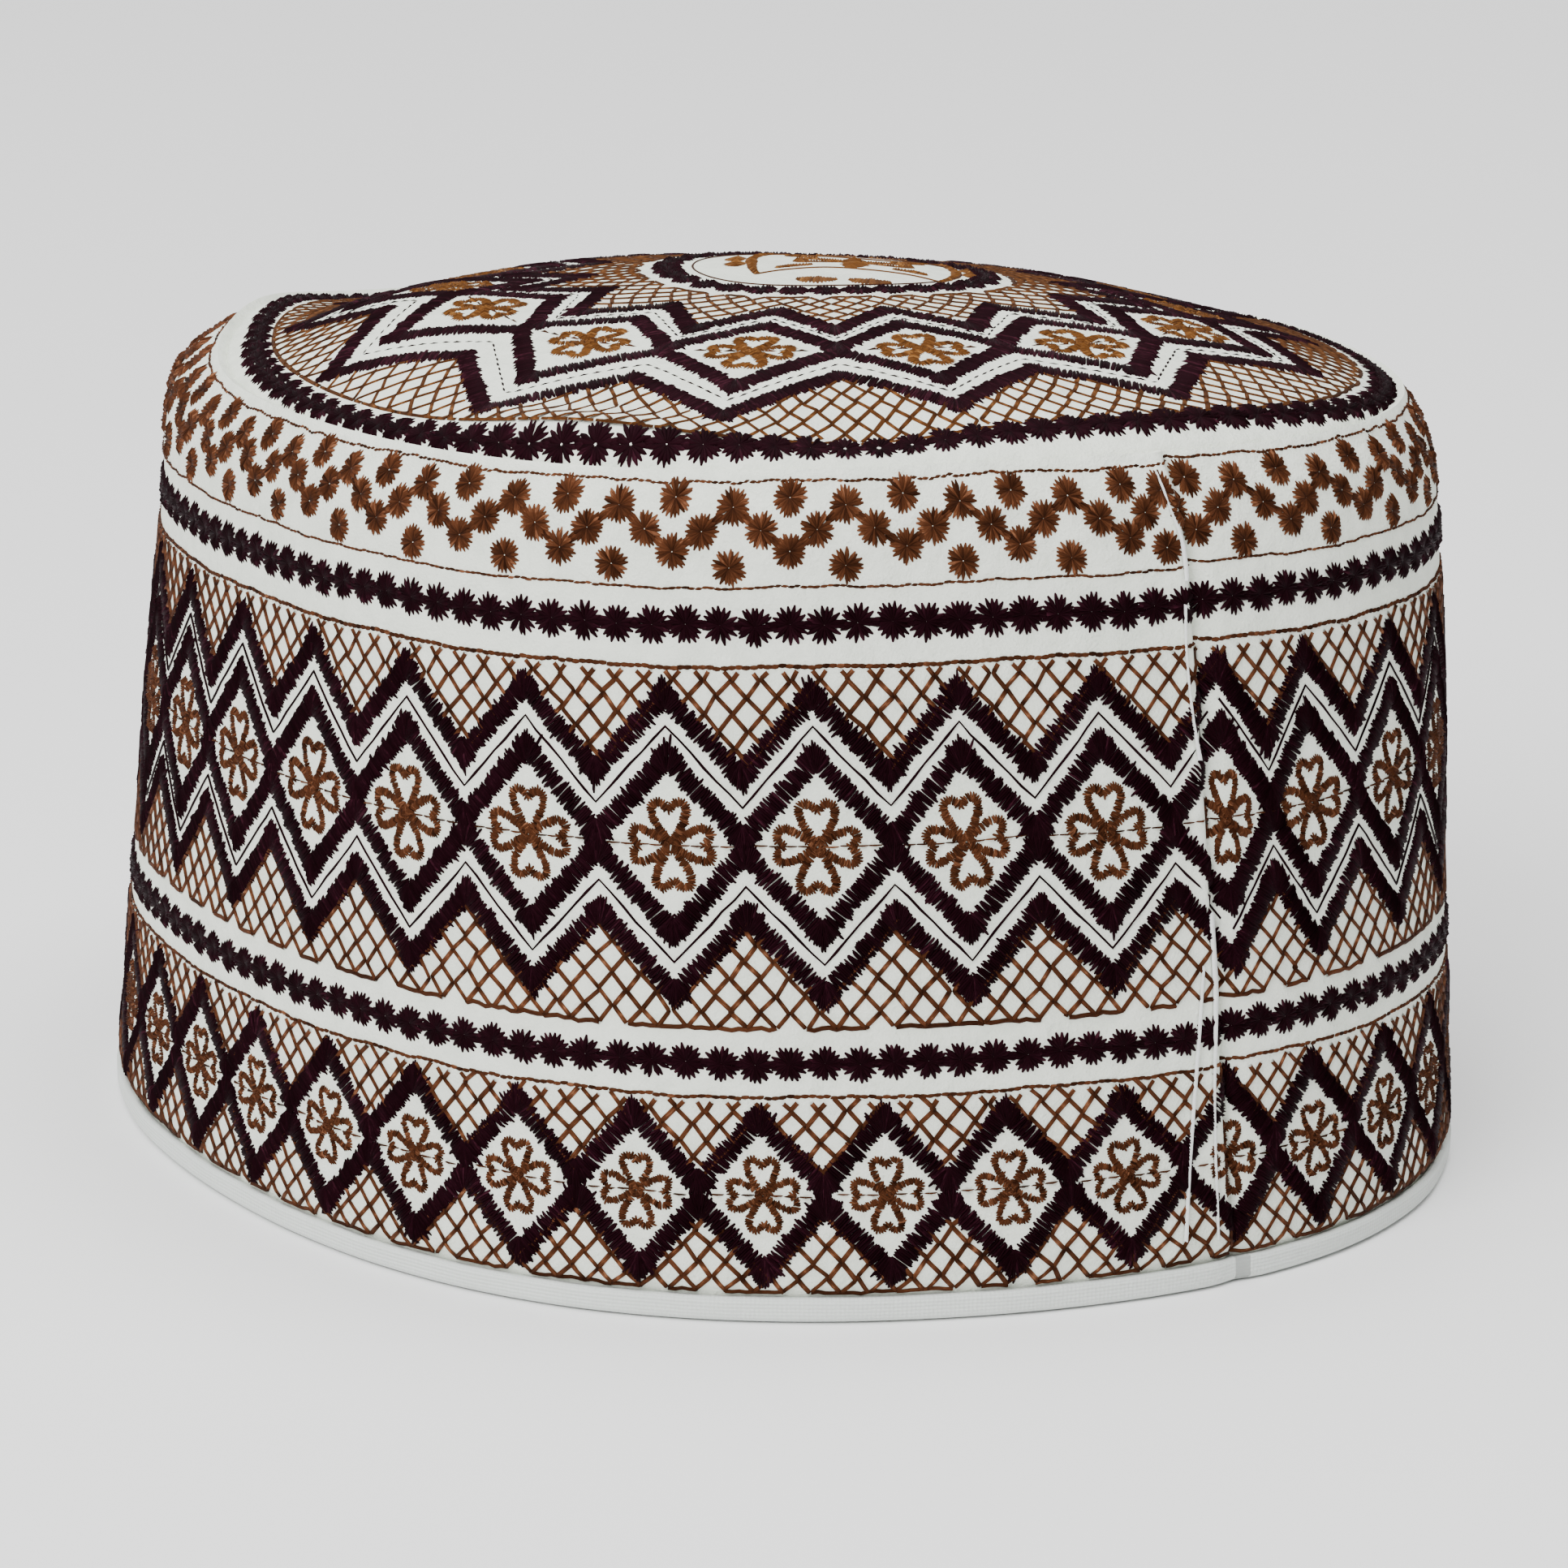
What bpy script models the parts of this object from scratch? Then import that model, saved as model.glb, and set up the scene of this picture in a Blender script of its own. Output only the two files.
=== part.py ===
"""Embroidered prayer cap: a tall tapered side wall, a domed crown and a hem tape.

The front faces -Y and the back seam is at +Y. Metres, +Z up, the hem stands on Z = 0.
"""
import math

import bmesh
import bpy

MM = 0.001

# Cloth and fit, in millimetres
CLOTH_THICKNESS = 1.6
TAPE_THICKNESS = 1.0
GAP = 0.3                  # clearance between pieces that touch
SEAM_DEPTH = 0.7           # how far the back seam is drawn in
SEAM_WIDTH = 3.6           # from the seam to where the cloth is level again
EDGE_ROUND = 0.4           # rounding of a cut or folded cloth edge

# Columns round the cap: even steps, and finer ones beside the seam
EVEN_COLUMNS = 72
SEAM_STEPS = (0.7, 1.4, 2.2)     # degrees to each side of the seam

# Side wall, hem to rim: height and outer radius of each section
WALL_SECTIONS = (
    # height, radius
    (1.3, 93.4),
    (3.6, 93.4),
    (5.2, 94.2),
    (16.5, 93.2),
    (32.0, 92.3),
    (47.0, 91.1),
    (62.0, 90.3),
    (84.0, 88.4),
    (94.0, 87.4),
    (99.5, 86.4),
    (103.5, 85.0),
    (107.0, 82.8),
    (109.2, 81.7),
)

# Waves that push the round outline out of true, the first one making it oval front to back
OUTLINE_WAVES = (
    # waves, share of radius at hem, share at rim, direction of a peak in degrees
    (2, 0.034, 0.016, -1.0),
    (3, 0.002, 0.010, 61.0),
    (4, 0.010, 0.022, 26.0),
    (5, 0.007, 0.010, 52.0),
)
# Waves that lift and drop the rim
RIM_WAVES = (
    # waves, height, direction of a peak in degrees
    (1, 4.2, 149.0),
    (2, 0.6, 177.0),
)
RIM_LEAN = (2.8, 6.2)      # how far the rim sits off the hem's centre, X and Y
RIM_TWIST = -4.6           # degrees that the wall's columns turn from hem to rim
HEM_CENTRE = (0.5, -0.5)   # moves the outline so that its box is centred on the origin

# Crown disc, its back pushed up from inside into a fuller, steeper edge
CROWN_EDGE_HEIGHT = 109.1
CROWN_RISE = 10.8
CROWN_FULLNESS = 1.7       # 2 is a round dome, more is flatter with a tighter edge
CROWN_SWELL = 5.4          # height added on the fuller side, half of it in the middle
CROWN_SWELL_FULLNESS = 5.0
CROWN_SWELL_SIDE = 140.0   # degrees
CROWN_ROLL = 2.6           # radius of the turn from the dome down into the seam
CROWN_TURN_STEPS = 3
CROWN_TURN_DOWN = 3.0      # straight cloth below that turn
CROWN_RINGS = 10

# Hem tape
HEM_OUTER_HEIGHT = 3.3
HEM_INNER_HEIGHT = 4.2
HEM_BEND = 1.1

HEIGHT_OF_RIM = WALL_SECTIONS[-1][0]
HEM_RADIUS = WALL_SECTIONS[0][1]


def column_angles():
    """Angles from the front towards +X, the back seam being at 180 degrees."""
    step = 360.0 / EVEN_COLUMNS
    clear = max(SEAM_STEPS) + 0.4 * step
    angles = [i * step for i in range(EVEN_COLUMNS) if abs(i * step - 180.0) > clear]
    angles += [180.0 - s for s in SEAM_STEPS] + [180.0] + [180.0 + s for s in SEAM_STEPS]
    return [math.radians(a) for a in sorted(angles)]


def outline_share(angle, rise):
    """Outline at a height, as a share of the section's radius."""
    share = 1.0
    for waves, at_hem, at_rim, peak in OUTLINE_WAVES:
        amount = at_hem + (at_rim - at_hem) * rise
        share += amount * math.cos(waves * (angle - math.radians(peak)))
    return share


def rim_lift(angle):
    return sum(lift * math.cos(waves * (angle - math.radians(peak)))
               for waves, lift, peak in RIM_WAVES)


def seam_draw(angle):
    """How far the cloth is drawn in beside the back seam."""
    off = abs(angle - math.pi) * HEM_RADIUS
    if off >= SEAM_WIDTH:
        return 0.0
    return SEAM_DEPTH * 0.5 * (1.0 + math.cos(math.pi * off / SEAM_WIDTH))


def place(angle, radius, height, seam=1.0):
    """A point of the cap in metres, from its column, nominal radius and nominal height."""
    rise = height / HEIGHT_OF_RIM
    turned = angle + math.radians(RIM_TWIST) * rise
    reach = radius * outline_share(turned, rise) - seam * seam_draw(angle)
    x = HEM_CENTRE[0] + RIM_LEAN[0] * rise + reach * math.sin(turned)
    y = HEM_CENTRE[1] + RIM_LEAN[1] * rise - reach * math.cos(turned)
    return x * MM, y * MM, (height + rim_lift(turned) * rise) * MM


def collection_for(name):
    group = bpy.data.collections.new(name)
    bpy.context.scene.collection.children.link(group)
    return group


def cloth_material(name, color, roughness):
    mat = bpy.data.materials.new(name)
    mat.use_nodes = True
    shader = mat.node_tree.nodes["Principled BSDF"]
    shader.inputs["Base Color"].default_value = (*color, 1.0)
    shader.inputs["Roughness"].default_value = roughness
    shader.inputs["Metallic"].default_value = 0.0
    return mat


def sheet_of_rings(name, rings, group, mat, pole=None):
    """An open cloth surface through closed rings, with a pole where the last ring closes."""
    mesh = bpy.data.meshes.new(name)
    build = bmesh.new()
    rows = [[build.verts.new(p) for p in ring] for ring in rings]
    count = len(rows[0])
    for low, high in zip(rows, rows[1:]):
        for i in range(count):
            j = (i + 1) % count
            build.faces.new((low[i], low[j], high[j], high[i]))
    if pole is not None:
        tip = build.verts.new(pole)
        for i in range(count):
            build.faces.new((rows[-1][i], rows[-1][(i + 1) % count], tip))
    build.to_mesh(mesh)
    build.free()
    mesh.shade_smooth()
    mesh.materials.append(mat)
    sheet = bpy.data.objects.new(name, mesh)
    group.objects.link(sheet)
    return sheet


def thicken(sheet, thickness, edge_round):
    """Give a cloth surface its thickness on the inner side and round its edges."""
    shell = sheet.modifiers.new("Thickness", 'SOLIDIFY')
    shell.thickness = thickness * MM
    shell.offset = -1.0
    shell.use_even_offset = True
    if edge_round:
        edge = sheet.modifiers.new("Edge", 'BEVEL')
        edge.width = edge_round * MM
        edge.segments = 1
        edge.limit_method = 'ANGLE'
        edge.angle_limit = math.radians(60.0)


def make_side_wall(angles, group):
    cloth = cloth_material("wall_cloth", (0.80, 0.82, 0.78), 0.9)
    rings = [[place(a, radius, height) for a in angles] for height, radius in WALL_SECTIONS]
    wall = sheet_of_rings("side_wall", rings, group, cloth)
    thicken(wall, CLOTH_THICKNESS, EDGE_ROUND)
    return wall


def dome_rise(share, angle):
    """Height above the dome's edge, share being 0 in the middle and 1 at the edge."""
    side = 0.5 * (1.0 + share * math.cos(angle - math.radians(CROWN_SWELL_SIDE)))
    swell = CROWN_SWELL * side * (1.0 - share ** CROWN_SWELL_FULLNESS)
    return CROWN_RISE * (1.0 - share ** CROWN_FULLNESS) + swell


def crown_profile(angle):
    """Radius and height from the turned-down rim, round the roll and up the dome."""
    rim_radius = WALL_SECTIONS[-1][1] - CLOTH_THICKNESS - GAP
    near_edge = 0.98
    slope = math.atan(dome_rise(near_edge, angle) / ((1.0 - near_edge) * rim_radius))
    centre = rim_radius - CROWN_ROLL
    foot = CROWN_EDGE_HEIGHT - CROWN_ROLL * math.cos(slope)
    profile = [(rim_radius, foot - CROWN_TURN_DOWN)]
    for i in range(CROWN_TURN_STEPS + 1):
        a = math.pi / 2 + (slope - math.pi / 2) * i / CROWN_TURN_STEPS
        profile.append((centre + CROWN_ROLL * math.sin(a), foot + CROWN_ROLL * math.cos(a)))
    dome_edge = profile[-1][0]
    for i in range(1, CROWN_RINGS):
        share = 1.0 - i / CROWN_RINGS
        profile.append((dome_edge * share, CROWN_EDGE_HEIGHT + dome_rise(share, angle)))
    return profile, dome_edge


def make_crown(angles, group):
    """The dome keeps the rim's waves at its edge and loses them towards the middle."""
    cloth = cloth_material("crown_cloth", (0.80, 0.82, 0.78), 0.9)
    columns = []
    for a in angles:
        profile, dome_edge = crown_profile(a)
        column = []
        for radius, height in profile:
            level = min(radius, dome_edge) / dome_edge
            x, y, z = place(a, radius, height, seam=0.0)
            edge_only = z - height * MM
            column.append((x, y, height * MM + edge_only * level))
        columns.append(column)
    rings = [list(ring) for ring in zip(*columns)]
    top = CROWN_EDGE_HEIGHT + dome_rise(0.0, 0.0)
    x, y, z = place(0.0, 0.0, top, seam=0.0)
    crown = sheet_of_rings("crown", rings, group, cloth, (x, y, top * MM))
    thicken(crown, CLOTH_THICKNESS, EDGE_ROUND)
    return crown


def make_hem(angles, group):
    """The tape's outer face, from its inner edge down, under the wall and up outside."""
    tape = cloth_material("hem_tape", (0.66, 0.69, 0.66), 0.85)
    out = HEM_RADIUS + GAP + TAPE_THICKNESS
    inside = HEM_RADIUS - CLOTH_THICKNESS - GAP - TAPE_THICKNESS
    bends = [math.radians(a) for a in (30.0, 60.0, 90.0)]
    section = [(inside, HEM_INNER_HEIGHT), (inside, HEM_BEND)]
    section += [(inside + HEM_BEND * (1.0 - math.cos(a)), HEM_BEND * (1.0 - math.sin(a)))
                for a in bends]
    section += [(out - HEM_BEND * (1.0 - math.cos(a)), HEM_BEND * (1.0 - math.sin(a)))
                for a in reversed(bends)]
    section += [(out, HEM_BEND), (out, HEM_OUTER_HEIGHT)]
    rings = [[place(a, radius, height) for a in angles] for radius, height in section]
    hem = sheet_of_rings("hem_binding", rings, group, tape)
    thicken(hem, TAPE_THICKNESS, 0.0)
    return hem


def main():
    for old in list(bpy.data.objects):
        bpy.data.objects.remove(old, do_unlink=True)
    cap = collection_for("prayer_cap")
    angles = column_angles()
    make_side_wall(angles, cap)
    make_crown(angles, cap)
    make_hem(angles, cap)


main()
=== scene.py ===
import math

import bpy
import numpy as np
from mathutils import Matrix, Vector


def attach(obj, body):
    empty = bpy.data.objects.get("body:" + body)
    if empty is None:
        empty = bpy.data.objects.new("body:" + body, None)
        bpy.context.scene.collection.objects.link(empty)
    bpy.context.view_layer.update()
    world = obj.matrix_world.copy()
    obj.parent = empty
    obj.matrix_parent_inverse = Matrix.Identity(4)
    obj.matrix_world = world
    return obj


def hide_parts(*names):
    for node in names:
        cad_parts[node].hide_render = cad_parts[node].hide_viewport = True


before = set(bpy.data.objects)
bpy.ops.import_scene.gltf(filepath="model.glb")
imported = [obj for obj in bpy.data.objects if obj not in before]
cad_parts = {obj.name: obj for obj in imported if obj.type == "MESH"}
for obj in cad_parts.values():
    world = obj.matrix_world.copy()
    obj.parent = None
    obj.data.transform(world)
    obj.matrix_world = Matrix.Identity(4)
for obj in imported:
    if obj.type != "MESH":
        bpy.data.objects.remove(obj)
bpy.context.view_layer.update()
bpy.ops.object.select_all(action='DESELECT')
dice = np.random.default_rng(14)

# The cap's shape, as in the part's source: millimetres, and angles from the front towards +X
capShape = {
    "rimHeight": 109.2,
    "hemRadius": 93.4,
    "hemCentre": (0.5, -0.5),
    "rimLean": (2.8, 6.2),
    "rimTwist": -4.6,
    "seamDepth": 0.7,
    "seamWidth": 3.6,
    "outlineWaves": ((2, 0.034, 0.016, -1.0), (3, 0.002, 0.010, 61.0), (4, 0.010, 0.022, 26.0), (5, 0.007, 0.010, 52.0)),
    "rimWaves": ((1, 4.2, 149.0), (2, 0.6, 177.0)),
    "shoulder": {"where": 42.0, "wide": 19.0, "inward": 4.2, "upward": 4.2, "bulge": 1.1},
    "sag": {"where": 322.0, "wide": 46.0, "down": 3.2},
}
girth = 572.0  # round the wide band, the unit of the patterns on the wall


def capPoint(angle, radius, height, seam=1.0, level=1.0):
    rise = height / capShape["rimHeight"]
    turned = angle + math.radians(capShape["rimTwist"]) * rise
    share = 1.0
    for waves, atHem, atRim, peak in capShape["outlineWaves"]:
        share = share + (atHem + (atRim - atHem) * rise) * np.cos(waves * (turned - math.radians(peak)))
    off = np.abs(angle - math.pi) * capShape["hemRadius"] / capShape["seamWidth"]
    draw = np.where(off < 1.0, capShape["seamDepth"] * 0.5 * (1.0 + np.cos(math.pi * np.minimum(off, 1.0))), 0.0)
    reach = radius * share - seam * draw
    lift = sum(amount * np.cos(waves * (turned - math.radians(peak))) for waves, amount, peak in capShape["rimWaves"])
    x = capShape["hemCentre"][0] + capShape["rimLean"][0] * rise + reach * np.sin(turned)
    y = capShape["hemCentre"][1] + capShape["rimLean"][1] * rise - reach * np.cos(turned)
    return joined(x, y, height + lift * rise * level)


def offTurn(angle, where, wide):  # squared distance of an angle from a direction in degrees, in half widths
    return (((np.degrees(angle) - where + 180.0) % 360.0 - 180.0) / wide) ** 2


def jitter(spread, size=None):
    return dice.normal(0.0, spread, size)


def joined(*parts):  # places from their coordinates
    return np.stack(np.broadcast_arrays(*parts), -1)


def unit(aims):
    return aims / np.maximum(np.linalg.norm(aims, axis=-1, keepdims=True), 1e-9)


def ease(share):  # from 0 to 1, level at both ends
    share = np.clip(share, 0.0, 1.0)
    return share ** 2 * (3 - 2 * share)


def shoulder(angle, rise, drawIn, full=0.0):  # the fuller shoulder on one side: how far its cloth moves in and up
    look = capShape["shoulder"]
    weight = np.exp(-offTurn(angle, look["where"], look["wide"]))
    share = np.clip(rise, 0.0, 1.0)
    inward = look["inward"] * ease(drawIn) - full * look["bulge"] * 4 * share * (1 - share)
    return weight * inward, weight * look["upward"] * ease(rise)


def sag(angle, share):  # the top settles a little on the side away from the fuller shoulder
    look = capShape["sag"]
    return look["down"] * np.exp(-offTurn(angle, look["where"], look["wide"])) * ease(share)


def runAlong(path):  # distance from the start of a path to each of its points
    return np.concatenate([[0.0], np.cumsum(np.linalg.norm(np.diff(path, axis=0), axis=1))])


def leftOf(ahead):
    return joined(-ahead[:, 1], ahead[:, 0])


def headings(path):  # a path's direction at each of its points
    return unit(np.gradient(path, axis=0))


class Sheet:  # a stretch of cloth that patterns are laid on
    def __init__(self, points, uStep, vStart, vStep, flip):
        self.normals = unit(np.cross(np.gradient(points, axis=0), np.gradient(points, axis=1)) * flip)
        self.points, self.uStep, self.vStart, self.vStep = points, uStep, vStart, vStep

    def at(self, place, lift):  # place: (..., 2) pattern millimetres, lift: millimetres off the cloth
        place = np.asarray(place, float)
        u = place[..., 0] / self.uStep
        v = np.clip((place[..., 1] - self.vStart) / self.vStep, 0.0, self.points.shape[1] - 1.001)
        i = np.floor(u).astype(int)
        j = np.floor(v).astype(int)
        s, t = (u - i)[..., None], (v - j)[..., None]
        count = self.points.shape[0] - 1
        i0, i1 = i % count, i % count + 1

        def blend(grid):
            low, high = (grid[i0, k] * (1 - s) + grid[i1, k] * s for k in (j, j + 1))
            return low * (1 - t) + high * t

        return (blend(self.points) + blend(self.normals) * np.asarray(lift)[..., None]) * 0.001


# The side wall's outer face
wall = {
    "sections": ((1.3, 93.4), (3.6, 93.4), (5.2, 94.2), (16.5, 93.2), (32.0, 92.3), (47.0, 91.1), (62.0, 90.3),
                 (84.0, 88.4), (94.0, 87.4), (99.5, 86.4), (103.5, 85.0), (107.0, 82.8), (109.2, 81.7)),
    "thickness": 1.6,
    "columns": 316,
    "seamColumns": (0.25, 0.55, 0.9, 1.3, 1.8, 2.4, 3.1, 4.0),
    "rows": 50,
    "dents": (  # angle, height, half width in degrees, half height, push in
        (205.0, 60.0, 16.0, 22.0, 0.5), (112.0, 40.0, 14.0, 26.0, 0.45), (152.0, 95.0, 12.0, 9.0, 0.35),
        (60.0, 70.0, 20.0, 24.0, 0.6), (300.0, 50.0, 22.0, 26.0, 0.6), (352.0, 82.0, 18.0, 18.0, 0.5),
        (248.0, 24.0, 14.0, 15.0, 0.45)),
    "ripples": ((0.16, 37.0, 1.3, 5.0, 101.0, 4.5),  # size, waves, wander, its waves, height, half height
                (0.10, 61.0, 2.0, 7.0, 6.0, 5.0)),
    "folds": ((0.9, 0.2, 0.5), (-0.8, -1.4, 1.1)),  # in or out, millimetres from the seam, half width
    "foldFade": 6.0,
    "bulge": (92.0, 16.0), "drawIn": (101.5, 6.5), "sag": (75.0, 33.0),  # where each starts, and over what height
}


def wallPush(angle, height):  # soft dents, ripples under the rim and the sharp fold of the seam
    turn = np.degrees(angle)
    push = 0.0
    for where, level, wide, tall, depth in wall["dents"]:
        push = push + depth * np.exp(-((turn - where) / wide) ** 2 - ((height - level) / tall) ** 2)
    ripple = 0.0
    for size, waves, wander, slow, level, tall in wall["ripples"]:
        bend = wander * np.sin(angle * slow)
        ripple = ripple + size * np.sin(angle * waves + bend) * np.exp(-((height - level) / tall) ** 2)
    across = (angle - math.pi) * capShape["hemRadius"]
    fold = sum(depth * np.exp(-((across - where) / wide) ** 2) for depth, where, wide in wall["folds"])
    return push + ripple + fold * np.clip(height / wall["foldFade"], 0.0, 1.0)


def wallRadius(height):
    return np.interp(height, *zip(*wall["sections"]))


def wallRows(heights, uStep):  # columns at even steps of arc from the seam, rows at the heights
    turns = np.linspace(math.pi, 3 * math.pi, 1801)
    steps = np.arange(0.0, girth + uStep * 0.5, uStep) / girth
    rows = []
    for height in heights:
        bulge, drawIn, sink = ((height - start) / over for start, over in (wall["bulge"], wall["drawIn"], wall["sag"]))
        angle = np.where(turns > 2 * math.pi, turns - 2 * math.pi, turns)
        angle[0] = angle[-1] = math.pi
        radius = wallRadius(height) - wallPush(angle, height)
        inward, upward = shoulder(angle, bulge, drawIn, 1.0)
        curve = capPoint(angle, radius - inward, height)
        curve[:, 2] += upward - sag(angle, sink)
        run = runAlong(curve)
        at = np.interp(steps * run[-1], run, np.arange(len(turns)))
        low = np.minimum(at.astype(int), len(turns) - 2)
        part = (at - low)[:, None]
        rows.append(curve[low] * (1 - part) + curve[low + 1] * part)
    return np.stack(rows, 1)


print("wall sheet")
wallSheet = Sheet(wallRows(np.arange(0.0, 110.01, 0.5), 0.5), 0.5, 0.0, 0.5, 1.0)


# The crown's outer face: pattern places are x, y on the flat disc that it was cut from
crown = {
    "edge": 81.0, "edgeHeight": 108.4, "rise": 11.5, "fullness": 1.7, "swell": 5.4, "swellFullness": 5.0,
    "swellSide": 140.0, "roll": 1.5, "turnDown": 2.8, "thickness": 1.6,
    "columns": 220,
    "rings": 38,
    "foldRings": 9,  # over the roll and down
    "dents": (  # angle, distance from the middle, half width in degrees, half depth, push down
        (125.0, 76.5, 14.0, 4.0, -2.6), (153.0, 75.0, 8.0, 5.0, 1.2), (187.0, 76.0, 16.0, 4.0, -0.9),
        (88.0, 76.0, 18.0, 4.0, 0.2), (250.0, 60.0, 22.0, 12.0, 0.6), (330.0, 40.0, 30.0, 14.0, 0.5),
        (100.0, 62.0, 10.0, 8.0, 0.35), (350.0, 77.0, 50.0, 4.0, 1.2), (72.0, 57.0, 24.0, 14.0, -2.5),
        (22.0, 66.0, 30.0, 14.0, 2.0), (322.0, 20.0, 60.0, 12.0, 1.0)),
}


def domeRise(share, angle):
    side = 0.5 * (1.0 + share * np.cos(angle - math.radians(crown["swellSide"])))
    swell = crown["swell"] * side * (1.0 - share ** crown["swellFullness"])
    return crown["rise"] * (1.0 - share ** crown["fullness"]) + swell


def crownEdge(angle):  # slope where the dome meets the roll, the dome's edge and where the cloth ends
    slope = np.arctan(domeRise(0.98, angle) / (0.02 * crown["edge"]))
    domeEdge = crown["edge"] - crown["roll"] * (1.0 - np.sin(slope))
    return slope, domeEdge, domeEdge + crown["roll"] * (math.pi / 2 - slope) + crown["turnDown"]


def crownPoint(angle, run):  # run: out from the middle in plan, then along the cloth over the roll and down
    angle, run = np.broadcast_arrays(angle, run)
    slope, domeEdge, end = crownEdge(angle)
    share = np.minimum(run / domeEdge, 1.0)
    over = np.maximum(run - domeEdge, 0.0)
    bend = np.minimum(slope + over / crown["roll"], math.pi / 2)
    down = np.maximum(over - crown["roll"] * (math.pi / 2 - slope), 0.0)
    rolled = over > 0.0
    radius = np.where(rolled, crown["edge"] - crown["roll"] * (1.0 - np.sin(bend)), run)
    overRoll = crown["roll"] * (np.cos(bend) - np.cos(slope)) - down
    height = crown["edgeHeight"] + np.where(rolled, overRoll, domeRise(share, angle))
    push = 0.0
    for where, away, wide, deep, depth in crown["dents"]:
        push = push + depth * np.exp(-offTurn(angle, where, wide) - ((run - away) / deep) ** 2)
    push = push * np.clip((crown["edge"] + 2.0 - run) / 6.0, 0.0, 1.0)  # the dents end before the roll does
    outer = share * 5.0 - 4.0  # 0 to 1 over the outer fifth
    inward, upward = shoulder(angle, outer, outer)
    points = capPoint(angle, radius - inward, height - push, 0.0, share)
    points[..., 2] += upward - sag(angle, share * 1.25 - 0.12)
    return points


class Disc(Sheet):
    def at(self, place, lift):
        place = np.asarray(place, float)
        turn = np.arctan2(place[..., 0], -place[..., 1]) % (2 * math.pi)
        return Sheet.at(self, joined(turn, np.hypot(place[..., 0], place[..., 1])), lift)


print("crown sheet")
discTurns = np.linspace(0.0, 2 * math.pi, 721)
discRuns = np.arange(0.0, crownEdge(0.0)[2], 0.5)
crownSheet = Disc(crownPoint(discTurns[:, None], discRuns[None, :]), discTurns[1], 0.0, 0.5, -1.0)
crownSheet.normals[:, 0] = crownSheet.normals[:, 3].mean(0)


# Finishes
class Mix:  # a number on a surface, written as plain sums
    def __init__(self, finish, socket):
        self.finish, self.socket = finish, socket

    def join(self, kind, first, second):
        made = self.finish.node("Math", {0: first, 1: second}, operation=kind)
        return Mix(self.finish, made.outputs[0])

    def __add__(self, other): return self.join('ADD', self, other)
    def __mul__(self, other): return self.join('MULTIPLY', self, other)


class Nodes:  # makes a shader's nodes and joins them up
    def __init__(self, tree):
        self.tree = tree

    def node(self, kind, inputs=None, **settings):
        made = self.tree.nodes.new("ShaderNode" + kind)
        for key, value in settings.items():
            setattr(made, key, value)
        for key, value in (inputs or {}).items():
            self.put(made.inputs[key], value)
        return made

    def put(self, socket, value):
        value = value.socket if isinstance(value, Mix) else value
        if isinstance(value, bpy.types.NodeSocket):
            self.tree.links.new(value, socket)
        else:
            socket.default_value = value


class Finish(Nodes):
    def __init__(self, name, fixed):
        self.material = bpy.data.materials.new(name)
        self.material.use_nodes = True
        Nodes.__init__(self, self.material.node_tree)
        self.shader = self.tree.nodes["Principled BSDF"]
        for socket, value in fixed.items():
            self.shader.inputs[socket].default_value = value

    def place(self):
        return self.node("TexCoord").outputs["Object"]

    def number(self, name):
        return Mix(self, self.node("Attribute", attribute_name=name).outputs["Fac"])

    def noise(self, vector, scale, detail=2.0, rough=0.5, squash=None):
        if squash:
            vector = self.node("Mapping", {"Vector": vector, "Scale": squash}).outputs[0]
        made = self.node("TexNoise", {"Vector": vector, "Scale": scale, "Detail": detail, "Roughness": rough})
        return Mix(self, made.outputs["Fac"])

    def blend(self, share, first, second):
        return self.node("Mix", {0: share, 6: first, 7: second}, data_type='RGBA', clamp_factor=True).outputs[2]

    def ramp(self, value, stops):
        made = self.node("ValToRGB", {0: value})
        for element, (at, v) in zip(made.color_ramp.elements, stops):
            element.position, element.color = at, (v, v, v, 1.0)
        return Mix(self, made.outputs[0])

    def color(self, value):
        self.put(self.shader.inputs["Base Color"], value)

    def threadMap(self):
        return self.node("UVMap", uv_map="thread").outputs[0]

    def wave(self, way, scale, distortion):
        inputs = {"Vector": self.threadMap(), "Scale": scale, "Distortion": distortion, "Detail": 1.0}
        made = self.node("TexWave", inputs, wave_type='BANDS', bands_direction=way)
        return Mix(self, made.outputs["Fac"])

    def bump(self, height, depth, strength=1.0):
        made = self.node("Bump", {"Height": height, "Distance": depth, "Strength": strength})
        self.put(self.shader.inputs["Normal"], made.outputs[0])


def solid(color, share=1.0):  # a colour times a share, opaque
    return tuple(np.multiply(color, share)) + (1.0,)


def brushedCotton(name, tone):
    made = Finish(name, {"Roughness": 0.9, "Specular IOR Level": 0.2})
    place = made.place()
    nap = made.noise(place, 2600.0, 3.0, 0.65)
    pucker = made.noise(place, 260.0, 3.0, 0.55)
    broad = made.noise(place, 45.0, 2.0)
    # the nap noise is the cloth's own fine tone; the pucker and broad noise also darken the colour, painted shade of
    # the puckers and of soft shading waves across the cloth
    shade = made.ramp(nap * 0.30 + pucker * 0.45 + broad * 0.25, ((0.36, 0.0), (0.56, 1.0)))
    made.color(made.blend(shade, solid(tone, (0.90, 0.915, 0.90)), solid(tone, 1.03)))
    made.bump(nap * 0.22 + pucker * 0.78, 0.0009, 1.0)
    return made.material


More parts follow.
